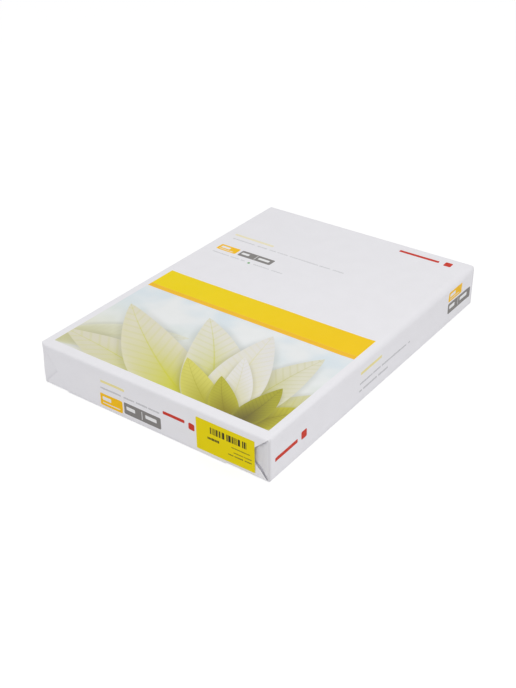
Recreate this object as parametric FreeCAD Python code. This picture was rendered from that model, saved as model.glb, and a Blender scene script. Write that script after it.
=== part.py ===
import FreeCAD, Part
import os

# A sealed pack of office paper in one folded sheet of wrapping paper, lying flat, in millimetres.
# The origin is the middle of the base. X runs across the labelled end, Y along the pack, Z up.

# The stack of sheets
sheet_width = 297.0
sheet_length = 420.0
sheet_count = 500
sheet_caliper = 0.1

# Wrapping paper and air between the stack and the outside of the pack
side_slack = 1.0
end_slack = 1.3
height_slack = 0.8

# Soft edges where the wrapper turns over the stack. It is slack along the right of the top, and
# tight along the other three long edges
slack_edge_radius = 5.0
long_edge_radius = 1.0
end_edge_radius = 2.5
corner_radius = 1.2

# The bottom flap of each end, folded up over the side tucks with slanting folds at its sides
bottom_flap_rise = 0.5
bottom_flap_reach = 40.0
bottom_flap_side_run = 40.0

# The top flap of each end, folded down last, so that its free edge hangs just clear of the floor
top_flap_rise = 0.7
top_flap_foot = 0.3
front_flap_left_run = 37.0
front_flap_right_run = 54.0
back_flap_left_run = 50.0
back_flap_right_run = 50.0

# The side tucks, each pushed in against the stack and left a little hollow
tuck_hollow_radius = 22.0
tuck_hollow_depth = 0.9
tuck_hollow_inset = 2.0

# The long lap seam on the base, where one edge of the wrapper is glued over the other
lap_seam_x = 40.0
lap_step = 0.2

# The sticker, flat on the front end's top flap and free where it bridges the right tuck
label_width = 70.5
label_height = 37.5
label_thickness = 0.15
label_corner_radius = 1.2
label_side_inset = 16.0
label_foot = 5.0

# Sizes that follow
pack_width = sheet_width + 2 * side_slack
pack_height = sheet_count * sheet_caliper + height_slack
half_width = pack_width / 2
tuck_plane = sheet_length / 2 + end_slack
bottom_flap_plane = tuck_plane + bottom_flap_rise
top_flap_plane = bottom_flap_plane + top_flap_rise
fold_line = tuck_plane - end_edge_radius


def edges_along(shape, axis):
    """The straight edges of a box that run along one axis."""
    return [edge for edge in shape.Edges if abs(edge.tangentAt(edge.FirstParameter).dot(axis)) > 0.99]


def soft_block(end_plane, round_foot=True):
    """The wrapped block between two end planes, each of its edges turned over the stack."""
    block = Part.makeBox(
        pack_width, 2 * end_plane, pack_height, FreeCAD.Vector(-half_width, -end_plane, 0)
    )
    end_edges = edges_along(block, FreeCAD.Vector(1, 0, 0))
    if not round_foot:
        end_edges = [edge for edge in end_edges if edge.CenterOfMass.z > pack_height / 2]
    slack_edges = []
    tight_edges = []
    for edge in edges_along(block, FreeCAD.Vector(0, 1, 0)):
        top_right = edge.CenterOfMass.x > 0 and edge.CenterOfMass.z > pack_height / 2
        (slack_edges if top_right else tight_edges).append(edge)
    slack = block.makeFillet(slack_edge_radius, slack_edges)
    tight = block.makeFillet(long_edge_radius, tight_edges)
    across = block.makeFillet(end_edge_radius, end_edges)
    upright = block.makeFillet(corner_radius, edges_along(block, FreeCAD.Vector(0, 0, 1)))
    return slack.common(tight).common(across).common(upright)


def end_prism(outline, inner_plane, outer_plane, at_back):
    """A prism on one end, from its corners as that end is faced, between two planes of Y."""
    corners = [FreeCAD.Vector(x, -outer_plane, z) for x, z in outline]
    face = Part.Face(Part.makePolygon(corners + corners[:1]))
    prism = face.extrude(FreeCAD.Vector(0, outer_plane - inner_plane, 0))
    if at_back:
        prism.rotate(FreeCAD.Vector(0, 0, 0), FreeCAD.Vector(0, 0, 1), 180)
    return prism


def bottom_flap(at_back):
    """The bottom of the wrapper folded up one end, its sides folded in to a slant."""
    outline = [
        (-half_width, 0),
        (half_width, 0),
        (half_width - bottom_flap_side_run, bottom_flap_reach),
        (-half_width + bottom_flap_side_run, bottom_flap_reach),
    ]
    prism = end_prism(outline, fold_line, bottom_flap_plane, at_back)
    return soft_block(bottom_flap_plane).common(prism)


def top_flap(left_run, right_run, at_back):
    """The top of the wrapper folded down one end, over the bottom flap."""
    outline = [
        (-half_width, pack_height),
        (half_width, pack_height),
        (half_width - right_run, top_flap_foot),
        (-half_width + left_run, top_flap_foot),
    ]
    root = [
        (-half_width, pack_height),
        (half_width, pack_height),
        (half_width, bottom_flap_reach),
        (-half_width, bottom_flap_reach),
    ]
    flap = end_prism(outline, bottom_flap_plane, top_flap_plane, at_back)
    over_edge = end_prism(outline, fold_line, bottom_flap_plane, at_back).common(
        end_prism(root, fold_line, bottom_flap_plane, at_back)
    )
    return soft_block(top_flap_plane, round_foot=False).common(flap.fuse(over_edge))


def tuck_hollow(side, end):
    """The shallow dish that a side tuck leaves; side is 1 right or -1 left, end 1 back or -1 front."""
    radius = (tuck_hollow_radius**2 + tuck_hollow_depth**2) / (2 * tuck_hollow_depth)
    x = side * (half_width - tuck_hollow_inset - tuck_hollow_radius)
    y = end * (tuck_plane + radius - tuck_hollow_depth)
    centre = FreeCAD.Vector(x, y, pack_height / 2)
    stack = Part.makeBox(
        pack_width, 2 * tuck_plane, pack_height, FreeCAD.Vector(-half_width, -tuck_plane, 0)
    )
    return Part.makeSphere(radius, centre).common(stack)


def wrapped_ream():
    """The sealed pack as one solid: soft block, both folded ends and the lap seam."""
    hollows = [tuck_hollow(side, end) for end in (-1, 1) for side in (-1, 1)]
    front_top_flap = top_flap(front_flap_left_run, front_flap_right_run, at_back=False)
    back_top_flap = top_flap(back_flap_left_run, back_flap_right_run, at_back=True)
    flaps = [bottom_flap(at_back=False), bottom_flap(at_back=True), front_top_flap, back_top_flap]
    lap_gap = Part.makeBox(
        half_width - lap_seam_x,
        2 * top_flap_plane,
        lap_step,
        FreeCAD.Vector(lap_seam_x, -top_flap_plane, 0),
    )
    pack = soft_block(tuck_plane).cut(hollows).fuse(flaps).cut(lap_gap)
    return pack.Solids[0]


def barcode_label():
    """The sticker on the front end, a thin plate with rounded corners."""
    label = Part.makeBox(
        label_width,
        label_thickness,
        label_height,
        FreeCAD.Vector(
            half_width - label_side_inset - label_width,
            -top_flap_plane - label_thickness,
            label_foot,
        ),
    )
    return label.makeFillet(label_corner_radius, edges_along(label, FreeCAD.Vector(0, 1, 0)))


os.makedirs("parts", exist_ok=True)
wrapped_ream().exportStep("parts/wrapped_ream.step")
barcode_label().exportStep("parts/barcode_label.step")
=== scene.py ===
import math

import bmesh
import bpy
from mathutils import Matrix, Vector


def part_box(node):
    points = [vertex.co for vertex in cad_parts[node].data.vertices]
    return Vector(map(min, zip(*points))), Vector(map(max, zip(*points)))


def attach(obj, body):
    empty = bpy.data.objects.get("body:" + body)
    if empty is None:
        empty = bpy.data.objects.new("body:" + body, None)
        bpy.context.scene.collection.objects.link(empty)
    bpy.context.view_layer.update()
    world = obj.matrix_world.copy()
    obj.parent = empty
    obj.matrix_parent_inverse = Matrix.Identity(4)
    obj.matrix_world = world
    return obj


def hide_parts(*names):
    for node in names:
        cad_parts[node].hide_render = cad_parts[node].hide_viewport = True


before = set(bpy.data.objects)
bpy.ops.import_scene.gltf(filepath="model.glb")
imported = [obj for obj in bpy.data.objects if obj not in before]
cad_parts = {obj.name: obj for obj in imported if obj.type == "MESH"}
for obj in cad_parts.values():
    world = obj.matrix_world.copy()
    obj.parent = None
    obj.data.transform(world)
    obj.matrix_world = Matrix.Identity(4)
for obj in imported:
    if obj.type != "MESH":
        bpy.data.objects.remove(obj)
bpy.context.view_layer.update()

# The sealed pack: one sheet of coated wrapping paper, folded and glued round five hundred sheets.
# Each end is an envelope fold: the sides are tucked in, the bottom flap comes up over them, and
# the top flap comes down last, with its free edge just clear of the floor.

pack_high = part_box("wrapped_ream")[1]
half_width = pack_high.x
height = pack_high.z
top_flap_rise = 0.0007
bottom_flap_rise = 0.0005
tuck_plane = pack_high.y - top_flap_rise - bottom_flap_rise
slack_edge_radius = 0.0034
long_edge_radius = 0.0010
end_edge_radius = 0.0025
corner_radius = 0.0012
flap_foot = 0.0003
paper_edge = 0.0002
cuts_beside_crease = (0.0006, 0.0017)

# Places nearer to each other than this count as one
hair = 1e-5


def pick(kind, test):
    """Selects the faces or vertices of the open mesh that pass a test, and nothing else."""
    bpy.ops.mesh.select_mode(type="FACE" if kind == "faces" else "VERT")
    bpy.ops.mesh.select_all(action="DESELECT")
    mesh = bmesh.from_edit_mesh(bpy.context.edit_object.data)
    for item in mesh.faces if kind == "faces" else mesh.verts:
        if test(item.calc_center_median() if kind == "faces" else item.co):
            item.select_set(True)
    bmesh.update_edit_mesh(bpy.context.edit_object.data)


def fold_line(x, z, run, rise, inward_x, inward_z):
    """A crease on the pack's end: a point on it and the direction across it, into the flap."""
    across = Vector((rise, 0, -run))
    if across.x * inward_x + across.z * inward_z < 0:
        across.negate()
    return Vector((x, 0, z)), across.normalized()


def inside(point, line):
    """How far a point lies on the flap's side of a crease, in metres."""
    return (point - line[0]).dot(line[1])


def ease(value, low, high):
    """A smooth step from 0 at low to 1 at high."""
    share = min(1, max(0, (value - low) / (high - low)))
    return share * share * (3 - 2 * share)


def end_creases(low_run, high_run):
    """The creases of a folded end: top flap's left and right, bottom flap's left and right."""
    return [
        fold_line(-half_width, height, low_run, -height, 1, 0),
        fold_line(half_width, height, -high_run, -height, -1, 0),
        fold_line(-half_width, 0, 1, 1, 1, -1),
        fold_line(half_width, 0, -1, 1, -1, -1),
    ]


def fold_end(end, creases):
    """Cuts the creases into one end and raises its flaps; end is -1 in front, 1 at the back."""
    at_end = tuck_plane - end_edge_radius - hair

    def on_top_flap(point):
        above_foot = point.z > end_edge_radius
        return above_foot and inside(point, creases[0]) > 0 and inside(point, creases[1]) > 0

    def on_any_flap(point):
        on_bottom_flap = inside(point, creases[2]) > 0 and inside(point, creases[3]) > 0
        return on_top_flap(point) or on_bottom_flap

    def raise_flap(rise, test):
        pick("faces", lambda p: p.y * end > at_end and test(p))
        out = {"value": (0, end * rise, 0)}
        bpy.ops.mesh.extrude_region_move(TRANSFORM_OT_translate=out)

    for crease in creases[:2]:
        pick("faces", lambda p: p.y * end > at_end)
        bpy.ops.mesh.bisect(plane_co=crease[0], plane_no=crease[1])
    for crease in creases[2:]:
        pick("faces", lambda p: p.y * end > at_end and not on_top_flap(p))
        bpy.ops.mesh.bisect(plane_co=crease[0], plane_no=crease[1])
    raise_flap(bottom_flap_rise, on_any_flap)
    raise_flap(top_flap_rise, lambda p: on_top_flap(p) and p.y * end > at_end + bottom_flap_rise)

    # Cuts beside each crease, so that the tucks can dip sharply under the folds
    for crease in creases:
        for beside in cuts_beside_crease:
            pick("faces", lambda p: abs(p.y * end - tuck_plane) < hair)
            bpy.ops.mesh.bisect(plane_co=crease[0] - crease[1] * beside, plane_no=crease[1])

    # The free edge hangs straight down past the rounded foot of the pack, as thin as paper
    covered = tuck_plane + bottom_flap_rise + hair

    def under_flap(point):
        return abs(point.z - end_edge_radius) < hair and point.y * end > covered

    pick("faces", under_flap)
    down = {"value": (0, 0, flap_foot - end_edge_radius)}
    bpy.ops.mesh.extrude_region_move(TRANSFORM_OT_translate=down)
    pick("verts", lambda p: abs(p.z - flap_foot) < hair and p.y * end < covered)
    bpy.ops.transform.translate(value=(0, end * (top_flap_rise - paper_edge), 0))


def cut_across(axis, places):
    """Divides the whole mesh by parallel cuts at the given places along one axis."""
    normal = Vector((0, 0, 0))
    normal[axis] = 1
    for place in places:
        bpy.ops.mesh.select_all(action="SELECT")
        bpy.ops.mesh.bisect(plane_co=normal * place, plane_no=normal)


bpy.ops.object.select_all(action="DESELECT")
bpy.ops.mesh.primitive_cube_add(size=1, location=(0, 0, height / 2))
wrapper = bpy.context.object
wrapper.name = "wrapper"
wrapper.scale = (2 * half_width, 2 * tuck_plane, height)
bpy.ops.object.transform_apply(location=True, rotation=True, scale=True)

# Soft turned edges, slack along the right of the top and tight along the other long edges
turn_segments = 6
turn_weight = wrapper.data.attributes.new("bevel_weight_edge", "FLOAT", "EDGE")
for edge in wrapper.data.edges:
    first, last = (wrapper.data.vertices[i].co for i in edge.vertices)
    middle = (first + last) / 2
    if middle.x == 0:
        radius = end_edge_radius
    elif middle.y != 0:
        radius = corner_radius
    elif middle.x > 0 and middle.z > height / 2:
        radius = slack_edge_radius
    else:
        radius = long_edge_radius
    turn_weight.data[edge.index].value = radius / slack_edge_radius
soften = wrapper.modifiers.new("turned_edges", "BEVEL")
soften.limit_method = "WEIGHT"
soften.width = slack_edge_radius
soften.segments = turn_segments
bpy.ops.object.modifier_apply(modifier=soften.name)

# How far each top flap has slanted in from the pack's sides at its foot
front_left_run = 0.037
front_right_run = 0.054
back_run = 0.050
front_creases = end_creases(front_left_run, front_right_run)
back_creases = end_creases(back_run, back_run)
bpy.ops.object.mode_set(mode="EDIT")
fold_end(-1, front_creases)
fold_end(1, back_creases)

# The lap seam along the base, one edge of the wrapper glued over the other
lap_seam_x = 0.040
lap_step = 0.0002
for seam_x in (lap_seam_x, lap_seam_x + lap_step):
    pick("faces", lambda p: p.z < hair)
    bpy.ops.mesh.bisect(plane_co=(seam_x, 0, 0), plane_no=(1, 0, 0))
pick("verts", lambda p: p.z < hair and p.x > lap_seam_x + lap_step / 2)
bpy.ops.transform.translate(value=(0, 0, lap_step))

# A grid of cuts for the slack of the paper, with two more beside the slack edge on each face
grid_step = 0.005
across_count = round(2 * half_width / grid_step)
along_count = round(2 * tuck_plane / grid_step)
up_count = 10
top_cuts = (0.0065, 0.0083)
side_cuts = (0.0067, 0.0085)
cut_across(0, [half_width * (2 * i / across_count - 1) for i in range(1, across_count)])
cut_across(0, [half_width - cut for cut in top_cuts])
cut_across(1, [tuck_plane * (2 * i / along_count - 1) for i in range(1, along_count)])
cut_across(2, [height * i / up_count for i in range(1, up_count)])
cut_across(2, [height - cut for cut in side_cuts])
bpy.ops.object.mode_set(mode="OBJECT")

# The wrapper turns more widely over the slack edge towards the back, and less again at its end
slack_gain = 0.0058
slack_starts, slack_full = -0.17, 0.12
end_hold = 0.6
hold_starts, hold_full = 0.18, 0.21


def turn_radius(y):
    """The radius of the slack edge at a place along the pack."""
    held = end_hold * ease(y, hold_starts, hold_full)
    return slack_edge_radius + slack_gain * ease(y, slack_starts, slack_full) * (1 - held)


for vertex in wrapper.data.vertices:
    point = vertex.co
    radius = turn_radius(point.y)
    from_turn = Vector((point.x - half_width + radius, point.z - height + radius))
    if min(from_turn) > 0 and from_turn.length > radius:
        from_turn *= radius / from_turn.length
        point.x = half_width - radius + from_turn.x
        point.z = height - radius + from_turn.y

# The upright corner at the front left is pressed rounder towards the top
corner_gain = 0.0024
rounder_from, rounder_full = 0.016, 0.038
for vertex in wrapper.data.vertices:
    point = vertex.co
    radius = corner_radius + corner_gain * ease(point.z, rounder_from, rounder_full)
    from_turn = Vector((point.x + half_width - radius, point.y + tuck_plane - radius))
    if max(from_turn) < 0 and from_turn.length > radius:
        from_turn *= radius / from_turn.length
        point.x = radius - half_width + from_turn.x
        point.y = radius - tuck_plane + from_turn.y

# The tucks lie deepest under the flaps, and each fold stands a little off what it covers, but
# both close up where they run into a corner
tuck_depth = 0.0017
tuck_slope_run = 0.013
fold_lift_depth = 0.0032
upper_gap_depth = 0.0012
lower_gap_depth = 0.0022
fold_gap_run = 0.0018
closed_within, open_from = 0.0004, 0.0038
front_left_share = 0.18
back_left_share = 0.8


def settle_end(end, creases, left_share):
    """Sinks an end's side tucks, the left by a share of the right, and parts the folds."""
    for vertex in wrapper.data.vertices:
        point = vertex.co
        if abs(point.y * end - tuck_plane) > hair:
            continue
        corner_gap = min(half_width - abs(point.x), point.z, height - point.z)
        near = [line for line in creases if abs(inside(point, line)) < hair]
        open_share = ease(corner_gap, closed_within, open_from)
        open_share *= left_share if point.x < 0 else 1
        from_side = half_width - abs(point.x)
        sunk = tuck_depth * ease(from_side, corner_radius, tuck_slope_run)
        for line in creases:
            gap_depth = upper_gap_depth if line in creases[:2] else lower_gap_depth
            sunk += gap_depth * (1 - ease(abs(inside(point, line)), 0, fold_gap_run))
        point.y -= end * sunk * open_share
        for line in near:
            point += line[1] * fold_lift_depth * open_share


settle_end(-1, front_creases, front_left_share)
settle_end(1, back_creases, back_left_share)

# The top flap's left fold at the front is pressed nearly flat, down to the tuck that it covers
pressed_share = 0.6
pressed_run = 0.012
pressed_from, pressed_full = 0.016, 0.024
turn_ends, turn_clear = 0.001, 0.005
for vertex in wrapper.data.vertices:
    point = vertex.co
    raised = -point.y - tuck_plane
    if point.x < 0 and raised > hair:
        from_fold = abs(inside(point, front_creases[0]))
        pressed = pressed_share * (1 - ease(from_fold, 0, pressed_run))
        pressed *= ease(point.z, pressed_from, pressed_full)
        point.y += raised * pressed * ease(height - point.z, turn_ends, turn_clear)


def slacken(name, axis, amount, wave, share):
    """Lets part of the paper sink unevenly onto the sheets, by up to an amount along one axis."""
    group = wrapper.vertex_groups.new(name=name)
    for vertex in wrapper.data.vertices:
        weight = share(vertex.co)
        if weight > 0:
            group.add([vertex.index], weight, "REPLACE")
    waves = bpy.data.textures.new(name, "CLOUDS")
    waves.noise_scale = wave
    waves.noise_depth = 1
    sink = wrapper.modifiers.new(name, "DISPLACE")
    sink.texture = waves
    sink.texture_coords = "LOCAL"
    sink.direction = axis
    sink.mid_level = 1
    sink.strength = amount
    sink.vertex_group = name
    bpy.ops.object.modifier_apply(modifier=sink.name)
    wrapper.vertex_groups.clear()


# Where each face starts, with room at the ends for the dips of the tucks
top_from = height - 0.0001
end_from = tuck_plane - 0.0050
side_from = half_width - 0.0002

# How far in from its edges each face is held tight, and from where it is free to sink. The
# sticker holds the front end too
top_held = (0.006, 0.030)
end_held = (0.0015, 0.012)
side_held = (0.003, 0.018)
sticker_left, sticker_right = 0.058, 0.138
share_under_sticker = 0.15


def top_share(point):
    """How freely a point of the top sinks, least near the edges."""
    gap = min(half_width - abs(point.x), tuck_plane - abs(point.y))
    return ease(gap, *top_held) if point.z > top_from else 0


def end_share(point, end):
    """How freely a point of an end sinks, least near the edges and under the sticker."""
    gap = min(half_width - abs(point.x), point.z, height - point.z)
    under_sticker = end < 0 and sticker_left < point.x < sticker_right
    free = share_under_sticker if under_sticker else 1
    return free * ease(gap, *end_held) if point.y * end > end_from else 0


def side_share(point, side):
    """How freely a point of a side sinks, least near the edges."""
    gap = min(tuck_plane - abs(point.y), point.z, height - point.z)
    return ease(gap, *side_held) if point.x * side > side_from else 0


# The amount that each face sinks by at most, and the width of its waves
slacken("top_slack", "Z", 0.0009, 0.075, top_share)
slacken("front_slack", "Y", -0.0011, 0.024, lambda p: end_share(p, -1))
slacken("back_slack", "Y", 0.0011, 0.024, lambda p: end_share(p, 1))
slacken("right_slack", "X", 0.0012, 0.045, lambda p: side_share(p, 1))
slacken("left_slack", "X", -0.0012, 0.045, lambda p: side_share(p, -1))

# Cuts leave the mesh in no fixed order, and the last bevel and merge would differ with it, so
# its points, edges and faces are put in the order of their distance from one place
sort_from = (0.7, 1.1, 1.9)
bpy.context.scene.cursor.location = sort_from
bpy.ops.object.mode_set(mode="EDIT")
bpy.ops.mesh.select_mode(type="VERT")
bpy.ops.mesh.select_all(action="SELECT")
bpy.ops.mesh.sort_elements(type="CURSOR_DISTANCE", elements={"VERT", "EDGE", "FACE"})
bpy.ops.object.mode_set(mode="OBJECT")
bpy.context.scene.cursor.location = (0, 0, 0)

# Folded edges of paper are soft, not knife sharp
soft_fold = 0.00016
fold_angle = math.radians(62)
merge_gap = 0.00002
smooth_angle = math.radians(35)
fold_edges = wrapper.modifiers.new("fold_edges", "BEVEL")
fold_edges.limit_method = "ANGLE"
fold_edges.angle_limit = fold_angle
fold_edges.width = soft_fold
fold_edges.segments = 2
bpy.ops.object.modifier_apply(modifier=fold_edges.name)
bpy.ops.object.mode_set(mode="EDIT")
bpy.ops.mesh.select_all(action="SELECT")
bpy.ops.mesh.remove_doubles(threshold=merge_gap)
bpy.ops.object.mode_set(mode="OBJECT")
facets = wrapper.modifiers.new("facets", "TRIANGULATE")
bpy.ops.object.modifier_apply(modifier=facets.name)
bpy.ops.object.shade_smooth_by_angle(angle=smooth_angle)


# The ink and paper of the wrapper. Places are in millimetres of the pack's own frame. The marks
# are plain bars and a picture panel of broad leaves under a yellow band.

def ink(red, green, blue):
    """A printed colour, from its values as seen in daylight, 0 to 255."""
    def linear(value):
        value /= 255
        return value / 12.92 if value <= 0.04045 else ((value + 0.055) / 1.055) ** 2.4
    return (linear(red), linear(green), linear(blue), 1)


def feed(tree, socket, value):
    """Sets a socket to a value, or links another node's output to it."""
    if isinstance(value, bpy.types.NodeSocket):
        tree.links.new(value, socket)
    elif value is not None:
        socket.default_value = value


def add_node(tree, kind, *values, **settings):
    """Adds a shader node with its settings and feeds its inputs in their order."""
    node = tree.nodes.new("ShaderNode" + kind)
    for name, setting in settings.items():
        setattr(node, name, setting)
    for socket, value in zip(node.inputs, values):
        feed(tree, socket, value)
    return node


def reckon(tree, operation, *values):
    """One step of arithmetic."""
    return add_node(tree, "Math", *values, operation=operation).outputs[0]


def measure(tree, operation, *values):
    """One step of arithmetic on places."""
    return add_node(tree, "VectorMath", *values, operation=operation).outputs[0]


def soft_step(tree, value, low, high):
    """A smooth step from 0 where the value is low to 1 where it is high."""
    node = add_node(tree, "MapRange", value, low, high, interpolation_type="SMOOTHSTEP")
    return node.outputs[0]


def lay(tree, share, under, over, blend="MIX"):
    """Lays one colour over another by a share from 0 to 1."""
    node = add_node(tree, "Mix", data_type="RGBA", blend_type=blend)
    feed(tree, node.inputs[0], share)
    feed(tree, node.inputs[6], under)
    feed(tree, node.inputs[7], over)
    return node.outputs[2]


def start_group(name, inputs, outputs):
    """Starts a node group and returns its tree, its inputs by name and its outputs by name."""
    tree = bpy.data.node_groups.new(name, "ShaderNodeTree")
    for socket, kind in inputs.items():
        tree.interface.new_socket(socket, in_out="INPUT", socket_type="NodeSocket" + kind)
    for socket, kind in outputs.items():
        tree.interface.new_socket(socket, in_out="OUTPUT", socket_type="NodeSocket" + kind)
    return tree, tree.nodes.new("NodeGroupInput").outputs, tree.nodes.new("NodeGroupOutput").inputs


def use_group(tree, group, **values):
    """Places a node group and feeds its inputs by name."""
    node = tree.nodes.new("ShaderNodeGroup")
    node.node_tree = group
    for name, value in values.items():
        feed(tree, node.inputs[name], value)
    return node.outputs


# A printed bar: a rectangle with rounded corners, in one ink
printed_bar, given, result = start_group(
    "printed_bar",
    {
        "Under": "Color",
        "Place": "Vector",
        "Middle": "Vector",
        "Half_Size": "Vector",
        "Corner": "Float",
        "Ink": "Color",
    },
    {"Color": "Color", "Mask": "Float"},
)
away = measure(printed_bar, "SUBTRACT", given["Place"], given["Middle"])
away = measure(printed_bar, "ABSOLUTE", away)
away = measure(printed_bar, "SUBTRACT", away, given["Half_Size"])
away = measure(printed_bar, "ADD", away, given["Corner"])
away = measure(printed_bar, "MAXIMUM", away, (0, 0, 0))
rounded = add_node(printed_bar, "VectorMath", away, operation="LENGTH").outputs["Value"]
edge_gap = reckon(printed_bar, "SUBTRACT", rounded, given["Corner"])
inked = soft_step(printed_bar, edge_gap, 0.12, -0.12)
printed_bar.links.new(inked, result["Mask"])
printed_bar.links.new(lay(printed_bar, inked, given["Under"], given["Ink"]), result["Color"])

# Small print: a row of short strokes of uneven height, in groups as long as words
small_print, given, result = start_group(
    "small_print",
    {
        "Under": "Color",
        "Place": "Vector",
        "Across": "Float",
        "Up": "Float",
        "Half_Width": "Float",
        "Half_Height": "Float",
        "Stroke": "Float",
        "Ink": "Color",
    },
    {"Color": "Color"},
)
row_shift = 3.7
words_per_stroke = 0.21
place = add_node(small_print, "SeparateXYZ", given["Place"]).outputs
stroke = reckon(small_print, "DIVIDE", place[0], given["Stroke"])
row = reckon(small_print, "MULTIPLY", given["Up"], row_shift)
stroke_number = reckon(small_print, "ADD", reckon(small_print, "FLOOR", stroke), row)
stroke_size = add_node(
    small_print, "TexWhiteNoise", None, stroke_number, noise_dimensions="1D"
).outputs[0]
word_at = reckon(small_print, "MULTIPLY", stroke, words_per_stroke)
word_at = reckon(small_print, "ADD", word_at, row)
word_wave = add_node(
    small_print, "TexNoise", None, word_at, 1, 0, noise_dimensions="1D"
).outputs[0]
in_word = soft_step(small_print, word_wave, 0.31, 0.33)
in_stroke = soft_step(small_print, reckon(small_print, "FRACT", stroke), 0.14, 0.22)
line_height = reckon(small_print, "MULTIPLY_ADD", stroke_size, 0.35, 0.65)
line_height = reckon(small_print, "MULTIPLY", line_height, given["Half_Height"])
row_gap = reckon(small_print, "SUBTRACT", place[1], given["Up"])
row_gap = reckon(small_print, "ABSOLUTE", row_gap)
in_row = soft_step(small_print, reckon(small_print, "SUBTRACT", row_gap, line_height), 0.08, -0.08)
end_gap = reckon(small_print, "SUBTRACT", place[0], given["Across"])
end_gap = reckon(small_print, "ABSOLUTE", end_gap)
in_line = reckon(small_print, "LESS_THAN", end_gap, given["Half_Width"])
inked = reckon(small_print, "MULTIPLY", in_word, in_stroke)
inked = reckon(small_print, "MULTIPLY", inked, in_row)
inked = reckon(small_print, "MULTIPLY", inked, in_line)
small_print.links.new(lay(small_print, inked, given["Under"], given["Ink"]), result["Color"])

# A leaf blade. Its place runs from 0 at the stalk to 1 at the tip, and from -1 to 1 across
leaf_blade, given, result = start_group(
    "leaf_blade",
    {"Under": "Color", "Place": "Vector", "Bend": "Float", "Stalk": "Color", "Tip": "Color"},
    {"Color": "Color"},
)
fullness_at_stalk = 0.72
fullness_at_sides = 0.80
vein_pairs = 15
vein_slant = -2.6
place = add_node(leaf_blade, "SeparateXYZ", given["Place"]).outputs
along = add_node(leaf_blade, "Clamp", place[0], 0, 1).outputs[0]
rest = reckon(leaf_blade, "SUBTRACT", 1, along)
bow = reckon(leaf_blade, "MULTIPLY", reckon(leaf_blade, "MULTIPLY", along, rest), given["Bend"])
across = reckon(leaf_blade, "SUBTRACT", place[1], bow)
off_rib = reckon(leaf_blade, "ABSOLUTE", across)
swell = reckon(leaf_blade, "POWER", along, fullness_at_stalk)
swell = reckon(leaf_blade, "MULTIPLY", swell, math.pi)
blade_width = reckon(leaf_blade, "POWER", reckon(leaf_blade, "SINE", swell), fullness_at_sides)
margin = reckon(leaf_blade, "SUBTRACT", blade_width, off_rib)
blade = soft_step(leaf_blade, margin, 0, 0.025)
shade_below = reckon(leaf_blade, "MULTIPLY", soft_step(leaf_blade, margin, -0.30, 0.04), 0.20)
past_stalk = soft_step(leaf_blade, blade_width, 0.05, 0.55)
shade_below = reckon(leaf_blade, "MULTIPLY", shade_below, past_stalk)
reach = reckon(leaf_blade, "DIVIDE", off_rib, reckon(leaf_blade, "MAXIMUM", blade_width, 0.02))
blend = soft_step(leaf_blade, reckon(leaf_blade, "MULTIPLY_ADD", reach, 0.28, along), 0.10, 0.95)
colour = lay(leaf_blade, blend, given["Stalk"], given["Tip"])
half_shade = reckon(leaf_blade, "MULTIPLY", soft_step(leaf_blade, across, -0.03, 0.55), 0.13)
colour = lay(leaf_blade, half_shade, colour, given["Stalk"])
vein_at = reckon(leaf_blade, "MULTIPLY", along, vein_pairs)
vein_at = reckon(leaf_blade, "MULTIPLY_ADD", off_rib, vein_slant, vein_at)
vein = reckon(leaf_blade, "SINE", reckon(leaf_blade, "MULTIPLY", vein_at, 2 * math.pi))
vein = reckon(leaf_blade, "MULTIPLY", soft_step(leaf_blade, vein, 0.35, 1.0), 0.16)
colour = lay(leaf_blade, vein, colour, given["Stalk"])
rib_width = reckon(leaf_blade, "MULTIPLY_ADD", rest, 0.05, 0.012)
rib = soft_step(leaf_blade, off_rib, rib_width, 0)
colour = lay(leaf_blade, reckon(leaf_blade, "MULTIPLY", rib, 0.55), colour, given["Stalk"])
rim = reckon(leaf_blade, "MULTIPLY", soft_step(leaf_blade, reach, 0.72, 1.0), 0.35)
colour = lay(leaf_blade, rim, colour, given["Tip"])
under = lay(leaf_blade, shade_below, given["Under"], ink(120, 118, 84))
leaf_blade.links.new(lay(leaf_blade, blade, under, colour), result["Color"])

# Paper fibres: a fine uneven height, and a faint cloudiness of tone
paper_fibre, given, result = start_group(
    "paper_fibre", {"Place": "Vector", "Fineness": "Float"}, {"Height": "Float", "Tone": "Float"}
)
fine_share = 0.4
strand_share = 0.6
fine = add_node(paper_fibre, "TexNoise", given["Place"], None, given["Fineness"], 2).outputs[0]
stretched = add_node(paper_fibre, "Mapping", given["Place"], None, None, (1, 0.25, 1)).outputs[0]
strand = add_node(paper_fibre, "TexNoise", stretched, None, given["Fineness"], 1).outputs[0]
fine = reckon(paper_fibre, "MULTIPLY", fine, fine_share)
fibres = reckon(paper_fibre, "MULTIPLY_ADD", strand, strand_share, fine)
paper_fibre.links.new(fibres, result["Height"])
cloudiness = add_node(paper_fibre, "TexNoise", given["Place"], None, 0.045, 3).outputs[0]
paper_fibre.links.new(cloudiness, result["Tone"])

paper = bpy.data.materials.new("wrapper_paper")
paper.use_nodes = True
print_tree = paper.node_tree
paper_shader = print_tree.nodes["Principled BSDF"]
to_mm = 1000
position = add_node(print_tree, "TexCoord").outputs["Object"]
position = measure(print_tree, "MULTIPLY", position, (to_mm, to_mm, to_mm))
x, y, z = add_node(print_tree, "SeparateXYZ", position).outputs
top_place = add_node(print_tree, "CombineXYZ", x, y, 0).outputs[0]
side_sign = reckon(print_tree, "SIGN", x)
end_sign = reckon(print_tree, "SIGN", y)
side_along = reckon(print_tree, "MULTIPLY", y, side_sign)
side_place = add_node(print_tree, "CombineXYZ", side_along, z, 0).outputs[0]
end_along = reckon(print_tree, "MULTIPLY", reckon(print_tree, "MULTIPLY", x, end_sign), -1)
end_place = add_node(print_tree, "CombineXYZ", end_along, z, 0).outputs[0]

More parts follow.
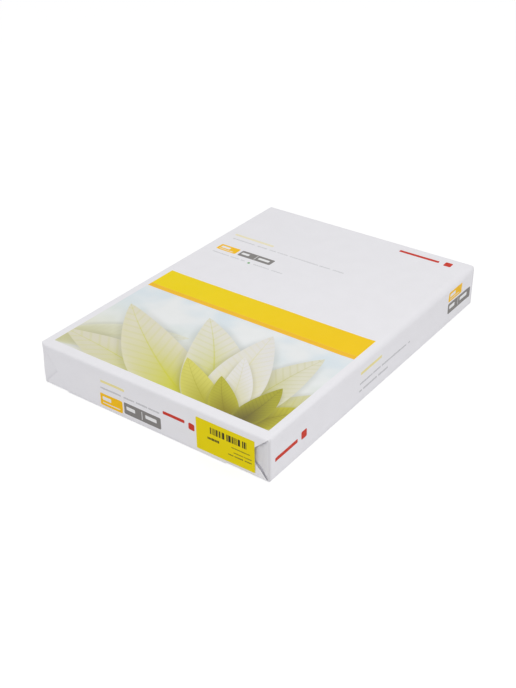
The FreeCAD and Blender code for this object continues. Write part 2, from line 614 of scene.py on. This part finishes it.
bare_paper = ink(239, 238, 242)
white_ink = ink(239, 239, 240)
yellow_ink = ink(244, 218, 20)
deep_yellow_ink = ink(248, 205, 28)
amber_ink = ink(246, 192, 50)
orange_ink = ink(250, 196, 30)
grey_ink = ink(138, 135, 133)
pale_grey_ink = ink(196, 196, 199)
faint_grey_ink = ink(212, 212, 215)
pale_yellow_ink = ink(240, 228, 160)
faint_yellow_ink = ink(240, 232, 196)
red_ink = ink(206, 62, 46)
green_ink = ink(92, 168, 84)


def draw_bars(place, colour, bars):
    """Prints bars, each given by its left, right, low and high edge, its corner and its ink."""
    for left, right, low, high, corner, bar_ink in bars:
        colour = use_group(
            print_tree,
            printed_bar,
            Under=colour,
            Place=place,
            Middle=((left + right) / 2, (low + high) / 2, 0),
            Half_Size=((right - left) / 2, (high - low) / 2, 1),
            Corner=corner,
            Ink=bar_ink,
        )["Color"]
    return colour


def draw_print(tree, place, colour, rows):
    """Prints rows, each given by its left, right, low and high edge, its stroke and its ink."""
    for left, right, low, high, stroke, row_ink in rows:
        colour = use_group(
            tree,
            small_print,
            Under=colour,
            Place=place,
            Across=(left + right) / 2,
            Up=(low + high) / 2,
            Half_Width=(right - left) / 2,
            Half_Height=(high - low) / 2,
            Stroke=stroke,
            Ink=row_ink,
        )["Color"]
    return colour


# The picture panel: a pale sky, leaves that fan out from the front right, and a band across
sky_step = soft_step(print_tree, y, -190, -60)
sky = lay(print_tree, sky_step, ink(232, 230, 208), ink(222, 232, 238))
clouds = add_node(print_tree, "TexNoise", position, None, 0.018, 2).outputs[0]
picture = lay(print_tree, soft_step(print_tree, clouds, 0.38, 0.66), sky, ink(238, 240, 240))

# Each leaf: the place of its root, its turn in degrees, its length, half its width, its bend, and
# its inks at stalk and tip
leaves = [
    (-150, -196, 33, 150, 24, 0.8, ink(206, 204, 160), ink(228, 229, 214)),
    (62, -216, 169, 214, 33, -1.0, ink(205, 206, 58), ink(222, 218, 196)),
    (70, -216, 148, 232, 35, 0.9, ink(208, 206, 52), ink(226, 222, 200)),
    (100, -216, 57, 132, 26, -0.7, ink(196, 190, 74), ink(216, 215, 176)),
    (78, -216, 127, 186, 34, -0.8, ink(204, 204, 44), ink(229, 227, 214)),
    (95, -216, 82, 152, 27, 0.7, ink(190, 188, 86), ink(226, 224, 204)),
    (88, -216, 105, 163, 31, 0.5, ink(222, 217, 150), ink(231, 229, 225)),
    (90, -214, 143, 116, 18, 0.8, ink(176, 170, 60), ink(218, 213, 110)),
    (97, -214, 116, 116, 17, -0.6, ink(214, 210, 150), ink(233, 231, 229)),
    (110, -215, 54, 84, 17, 0.7, ink(128, 117, 50), ink(200, 195, 74)),
    (104, -214, 132, 84, 15, 0.6, ink(140, 128, 50), ink(190, 186, 72)),
    (108, -214, 88, 80, 16, -0.5, ink(112, 103, 60), ink(176, 172, 66)),
]
for root_x, root_y, turn, length, half_blade, bend, stalk_ink, tip_ink in leaves:
    blade_place = add_node(
        print_tree,
        "Mapping",
        position,
        (root_x, root_y, 0),
        (0, 0, math.radians(turn)),
        (length, half_blade, 1),
        vector_type="TEXTURE",
    ).outputs[0]
    picture = use_group(
        print_tree,
        leaf_blade,
        Under=picture,
        Place=blade_place,
        Bend=bend,
        Stalk=stalk_ink,
        Tip=tip_ink,
    )["Color"]
band_ink = lay(print_tree, soft_step(print_tree, x, -150, 170), yellow_ink, deep_yellow_ink)
picture = draw_bars(
    top_place,
    picture,
    [(-150, 150, -42, 10, 0.2, band_ink), (-150, 150, -49, -42, 0.2, amber_ink)],
)
panel = use_group(
    print_tree,
    printed_bar,
    Place=top_place,
    Middle=(0.5, -102.5, 0),
    Half_Size=(140.5, 97.5, 1),
    Corner=0.2,
)["Mask"]
top_print = lay(print_tree, panel, bare_paper, picture)
top_print = draw_bars(
    top_place,
    top_print,
    [
        (-137, -78, 114.5, 118.5, 1, faint_yellow_ink),
        (-134.5, -105, 72, 86, 2, orange_ink),
        (-131, -118, 78, 82.5, 0.8, white_ink),
        (-131, -110, 74.6, 75.6, 0.3, white_ink),
        (-102, -53, 72, 86, 2, grey_ink),
        (-99, -88, 77, 81.5, 0.8, white_ink),
        (-78, -77.2, 74, 84, 0.3, white_ink),
        (-74, -58, 77, 81.5, 0.8, white_ink),
        (-79, -75, 61, 65, 2, green_ink),
        (56, 110, 193.5, 198, 1, red_ink),
        (117, 127, 191, 201, 2, red_ink),
    ],
)
top_print = draw_print(
    print_tree,
    top_place,
    top_print,
    [
        (-133, 31, 104.6, 107.4, 1.3, faint_grey_ink),
        (-133, -84, 63, 65.6, 1.1, faint_grey_ink),
        (-72, -28, 62, 64.6, 1.1, faint_grey_ink),
    ],
)

side_print = draw_bars(
    side_place,
    bare_paper,
    [
        (-201, -163, 18, 22.4, 1, red_ink),
        (-157, -147, 16.5, 26.5, 2, red_ink),
        (-47, -4, 33, 36.6, 1, pale_yellow_ink),
        (149, 182, 28.2, 42, 2, orange_ink),
        (153, 166, 34, 38.4, 0.8, white_ink),
        (153, 176, 30.8, 31.7, 0.3, white_ink),
        (149, 205, 12.5, 26.6, 2, grey_ink),
        (153, 166, 18, 22.6, 0.8, white_ink),
        (174, 174.8, 15, 24.5, 0.3, white_ink),
        (179, 197, 18, 22.6, 0.8, white_ink),
    ],
)
side_print = draw_print(
    print_tree,
    side_place,
    side_print,
    [
        (-48, 58, 20.8, 23.6, 1.3, pale_grey_ink),
        (-49, 10, 12.2, 15, 1.3, pale_grey_ink),
    ],
)

end_print = draw_bars(
    end_place,
    bare_paper,
    [
        (-64, -31, 33, 36, 1, pale_yellow_ink),
        (-66.5, -35, 4.5, 19.8, 2, orange_ink),
        (-63, -51, 11.6, 16, 0.8, white_ink),
        (-63, -39, 7.6, 8.6, 0.3, white_ink),
        (-33.5, 17, 6, 20.5, 2, grey_ink),
        (-30, -18, 11.6, 16, 0.8, white_ink),
        (-9, -8.2, 8, 18, 0.3, white_ink),
        (-4, 11, 11.6, 16, 0.8, white_ink),
        (20, 48, 27.2, 31, 1, red_ink),
        (52.5, 61, 22.5, 31, 2, red_ink),
    ],
)
end_print = draw_print(
    print_tree, end_place, end_print, [(-65, 17, 24.9, 27.3, 1.2, pale_grey_ink)]
)


def lay_value(share, under, over):
    """Changes from one measure to another by a share from 0 to 1."""
    node = add_node(print_tree, "Mix", share, None, under, over, data_type="FLOAT")
    return node.outputs[0]


top_print_from = 46.4
end_print_from = 208.2
on_top = reckon(print_tree, "GREATER_THAN", z, top_print_from)
on_end = reckon(print_tree, "ABSOLUTE", y)
on_end = reckon(print_tree, "GREATER_THAN", on_end, end_print_from)
printed = lay(print_tree, on_end, side_print, end_print)
printed = lay(print_tree, on_top, printed, top_print)

# Painted shade: the paper's colour is darkened along the upright corner folds and in the side
# tucks, where shade falls, most of all in the right tuck. A corner is where the distances from the
# middle, across and along, add up to the most. A tuck is what the slants of the top and bottom
# flap leave open
corner_painted_shade = 0.30
corner_shade_from, corner_shade_full = 359.6, 360.0
right_tuck_painted_shade = 0.16
left_tuck_painted_shade = 0.02
from_middle = measure(print_tree, "ABSOLUTE", position)
from_middle = add_node(print_tree, "SeparateXYZ", from_middle).outputs
corner_turn = reckon(print_tree, "ADD", from_middle[0], from_middle[1])
painted_shade = soft_step(print_tree, corner_turn, corner_shade_from, corner_shade_full)
painted_shade = reckon(print_tree, "MULTIPLY", painted_shade, corner_painted_shade)
at_right = reckon(print_tree, "GREATER_THAN", x, 0)
at_front = reckon(print_tree, "LESS_THAN", y, 0)
front_run = lay_value(at_right, to_mm * front_left_run, to_mm * front_right_run)
run = lay_value(at_front, to_mm * back_run, front_run)
below_top = reckon(print_tree, "SUBTRACT", 1, reckon(print_tree, "DIVIDE", z, to_mm * height))
slant = reckon(print_tree, "MULTIPLY", run, below_top)
in_tuck = reckon(print_tree, "ADD", reckon(print_tree, "MINIMUM", slant, z), from_middle[0])
in_tuck = soft_step(print_tree, in_tuck, to_mm * half_width - 0.1, to_mm * half_width + 0.3)
in_tuck = reckon(print_tree, "MULTIPLY", in_tuck, on_end)
tuck_painted_shade = lay_value(at_right, left_tuck_painted_shade, right_tuck_painted_shade)
tuck_painted_shade = reckon(print_tree, "MULTIPLY", in_tuck, tuck_painted_shade)
painted_shade = reckon(print_tree, "MAXIMUM", painted_shade, tuck_painted_shade)
# The painted shade of the corners and tucks darkens the print towards this grey
printed = lay(print_tree, painted_shade, printed, ink(150, 147, 148))

paper_specular = 0.06
fibre = use_group(print_tree, paper_fibre, Place=position, Fineness=1.6)
tone = reckon(print_tree, "MULTIPLY", soft_step(print_tree, fibre["Tone"], 0.30, 0.70), 0.035)
printed = lay(print_tree, tone, printed, ink(206, 205, 202), "MULTIPLY")
print_tree.links.new(printed, paper_shader.inputs["Base Color"])
gloss = reckon(print_tree, "MULTIPLY_ADD", fibre["Tone"], 0.10, 0.40)
print_tree.links.new(gloss, paper_shader.inputs["Roughness"])
paper_shader.inputs["Specular IOR Level"].default_value = paper_specular
grain = add_node(print_tree, "Bump", 0.10, 0.04)
print_tree.links.new(fibre["Height"], grain.inputs["Height"])
print_tree.links.new(grain.outputs[0], paper_shader.inputs["Normal"])

wrapper.data.materials.append(paper)
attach(wrapper, "root")
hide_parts("wrapped_ream")

# The sticker: yellow self-adhesive paper with a printed bar code. It is stuck to the front end's
# top flap and runs on, unsupported, over the step down to the right side tuck.

sticker_low, sticker_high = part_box("barcode_label")
sticker_corner = 0.0012
bpy.ops.object.select_all(action="DESELECT")
bpy.ops.mesh.primitive_cube_add(size=1, location=(sticker_low + sticker_high) / 2)
sticker = bpy.context.object
sticker.name = "sticker"
sticker.scale = sticker_high - sticker_low
bpy.ops.object.transform_apply(location=True, rotation=True, scale=True)
cut_weight = sticker.data.attributes.new("bevel_weight_edge", "FLOAT", "EDGE")
for edge in sticker.data.edges:
    first, last = (sticker.data.vertices[i].co for i in edge.vertices)
    only_through = abs(last.x - first.x) < hair and abs(last.z - first.z) < hair
    cut_weight.data[edge.index].value = 1 if only_through else 0
rounding = sticker.modifiers.new("rounded_corners", "BEVEL")
rounding.limit_method = "WEIGHT"
rounding.width = sticker_corner
rounding.segments = turn_segments
bpy.ops.object.modifier_apply(modifier=rounding.name)
bpy.ops.object.mode_set(mode="EDIT")
sticker_size = sticker_high - sticker_low
columns = 28
rows = 14
cut_across(0, [sticker_low.x + sticker_size.x * i / columns for i in range(1, columns)])
cut_across(2, [sticker_low.z + sticker_size.z * i / rows for i in range(1, rows)])
bpy.ops.object.mode_set(mode="OBJECT")

# It sags a little past the flap's crease, where nothing holds it
sticker_sag = 0.00025
for vertex in sticker.data.vertices:
    past_crease = -inside(vertex.co, front_creases[1])
    vertex.co.y += sticker_sag * ease(past_crease, -0.001, 0.012)
bpy.ops.object.shade_smooth_by_angle(angle=smooth_angle)

sticker_paper = bpy.data.materials.new("label_paper")
sticker_paper.use_nodes = True
sticker_tree = sticker_paper.node_tree
sticker_shader = sticker_tree.nodes["Principled BSDF"]
position = add_node(sticker_tree, "TexCoord").outputs["Object"]
position = measure(sticker_tree, "MULTIPLY", position, (to_mm, to_mm, to_mm))
x, y, z = add_node(sticker_tree, "SeparateXYZ", position).outputs
face_place = add_node(sticker_tree, "CombineXYZ", x, z, 0).outputs[0]
sticker_yellow = ink(235, 215, 8)
black_ink = ink(52, 48, 34)
brown_ink = ink(96, 88, 40)
faded_ink = ink(120, 110, 40)

# The bar code: bars of one width drawn at random, parted by a thin gap at equal steps
bar_width = 0.52
bar_share = 0.64
gap_step = 3.7
code_left = 80
bar_number = reckon(sticker_tree, "DIVIDE", x, bar_width)
bar_number = reckon(sticker_tree, "FLOOR", bar_number)
bar_draw = add_node(
    sticker_tree, "TexWhiteNoise", None, bar_number, noise_dimensions="1D"
).outputs[0]
bars = reckon(sticker_tree, "LESS_THAN", bar_draw, bar_share)
from_gap = reckon(sticker_tree, "SUBTRACT", x, code_left)
from_gap = reckon(sticker_tree, "PINGPONG", from_gap, gap_step / 2)
from_gap = soft_step(sticker_tree, from_gap, 0.25, 0.45)
bars = reckon(sticker_tree, "MULTIPLY", bars, from_gap)
code_field = use_group(
    sticker_tree,
    printed_bar,
    Place=face_place,
    Middle=(102, 32.9, 0),
    Half_Size=(22, 3.9, 1),
    Corner=0.2,
)["Mask"]
bars = reckon(sticker_tree, "MULTIPLY", bars, code_field)
sticker_colour = lay(sticker_tree, bars, sticker_yellow, black_ink)
sticker_colour = draw_print(
    sticker_tree,
    face_place,
    sticker_colour,
    [
        (77, 91.5, 21.4, 24.8, 1.9, black_ink),
        (106, 128, 23.2, 24.6, 0.9, faded_ink),
        (108, 130, 17.8, 19.2, 0.9, faded_ink),
        (102, 130, 13.6, 15.2, 0.9, brown_ink),
    ],
)
fibre = use_group(sticker_tree, paper_fibre, Place=position, Fineness=2.2)
sticker_tree.links.new(sticker_colour, sticker_shader.inputs["Base Color"])
gloss = reckon(sticker_tree, "MULTIPLY_ADD", fibre["Tone"], 0.12, 0.36)
sticker_tree.links.new(gloss, sticker_shader.inputs["Roughness"])
sticker_shader.inputs["Specular IOR Level"].default_value = paper_specular
grain = add_node(sticker_tree, "Bump", 0.08, 0.03)
sticker_tree.links.new(fibre["Height"], grain.inputs["Height"])
sticker_tree.links.new(grain.outputs[0], sticker_shader.inputs["Normal"])

sticker.data.materials.append(sticker_paper)
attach(sticker, "root")
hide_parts("barcode_label")

# Floor and light: a pale floor in a white room, one softbox above the front right of the pack.
# The camera sees the floor as white where the light reaches it, with the pack's faint shadow.


def seen_ray(tree):
    """1 for what the camera sees directly, in gloss or through glass, and 0 for the rest."""
    ray = add_node(tree, "LightPath").outputs
    seen = reckon(tree, "MAXIMUM", ray["Is Camera Ray"], ray["Is Glossy Ray"])
    return reckon(tree, "MAXIMUM", seen, ray["Is Transmission Ray"])


floor_span = 12
floor_glow = 0.73
floor_lit = 0.36
bpy.ops.object.select_all(action="DESELECT")
bpy.ops.mesh.primitive_plane_add(size=floor_span, location=(0, 0, 0))
floor = bpy.context.object
floor.name = "floor"
floor_paint = bpy.data.materials.new("floor_paint")
floor_paint.use_nodes = True
floor_tree = floor_paint.node_tree
floor_shader = floor_tree.nodes["Principled BSDF"]
floor_shader.inputs["Base Color"].default_value = ink(238, 238, 239)
floor_shader.inputs["Roughness"].default_value = 0.9
floor_shader.inputs["Specular IOR Level"].default_value = 0.1
lit_white = add_node(floor_tree, "BsdfDiffuse", (floor_lit, floor_lit, floor_lit, 1), 0)
glow = add_node(floor_tree, "Emission", (1, 1, 1, 1), floor_glow)
seen_white = add_node(floor_tree, "AddShader", lit_white.outputs[0], glow.outputs[0])
choice = add_node(
    floor_tree, "MixShader", seen_ray(floor_tree), floor_shader.outputs[0], seen_white.outputs[0]
)
floor_tree.links.new(choice.outputs[0], floor_tree.nodes["Material Output"].inputs["Surface"])
floor.data.materials.append(floor_paint)

room_strength = 0.73
seen_room_strength = 1
world = bpy.data.worlds.new("white_room")
bpy.context.scene.world = world
world.use_nodes = True
room = world.node_tree
room_light = room.nodes["Background"]
room_light.inputs["Color"].default_value = (1, 1, 1, 1)
room_light.inputs["Strength"].default_value = room_strength
room_seen = add_node(room, "Background", (1, 1, 1, 1), seen_room_strength)
choice = add_node(room, "MixShader", seen_ray(room), room_light.outputs[0], room_seen.outputs[0])
room.links.new(choice.outputs[0], room.nodes["World Output"].inputs["Surface"])

lamp_data = bpy.data.lights.new("softbox", "AREA")
lamp_data.size = 1.1
lamp_data.energy = 4.0
lamp = bpy.data.objects.new("softbox", lamp_data)
lamp.location = (0.45, -0.33, 1.10)
lamp.rotation_euler = lamp.location.to_track_quat("Z", "Y").to_euler()
bpy.context.scene.collection.objects.link(lamp)

# The camera stands in front of the pack, to its right and above it, and leans a little to one
# side. Its lens is given for a sensor 36 mm wide.

camera_place = (0.6041, -0.8433, 0.6359)
camera_turn = math.radians(36.409)
camera_tilt = math.radians(90 - 31.719)
camera_roll = math.radians(-0.637)
camera_data = bpy.data.cameras.new("camera")
camera_data.lens = 55.13
camera_data.sensor_width = 36
camera = bpy.data.objects.new("camera", camera_data)
bpy.context.scene.collection.objects.link(camera)
camera.matrix_world = (
    Matrix.Translation(camera_place)
    @ Matrix.Rotation(camera_turn, 4, "Z")
    @ Matrix.Rotation(camera_tilt, 4, "X")
    @ Matrix.Rotation(camera_roll, 4, "Z")
)
bpy.context.scene.camera = camera
bpy.context.scene.view_settings.view_transform = "Standard"
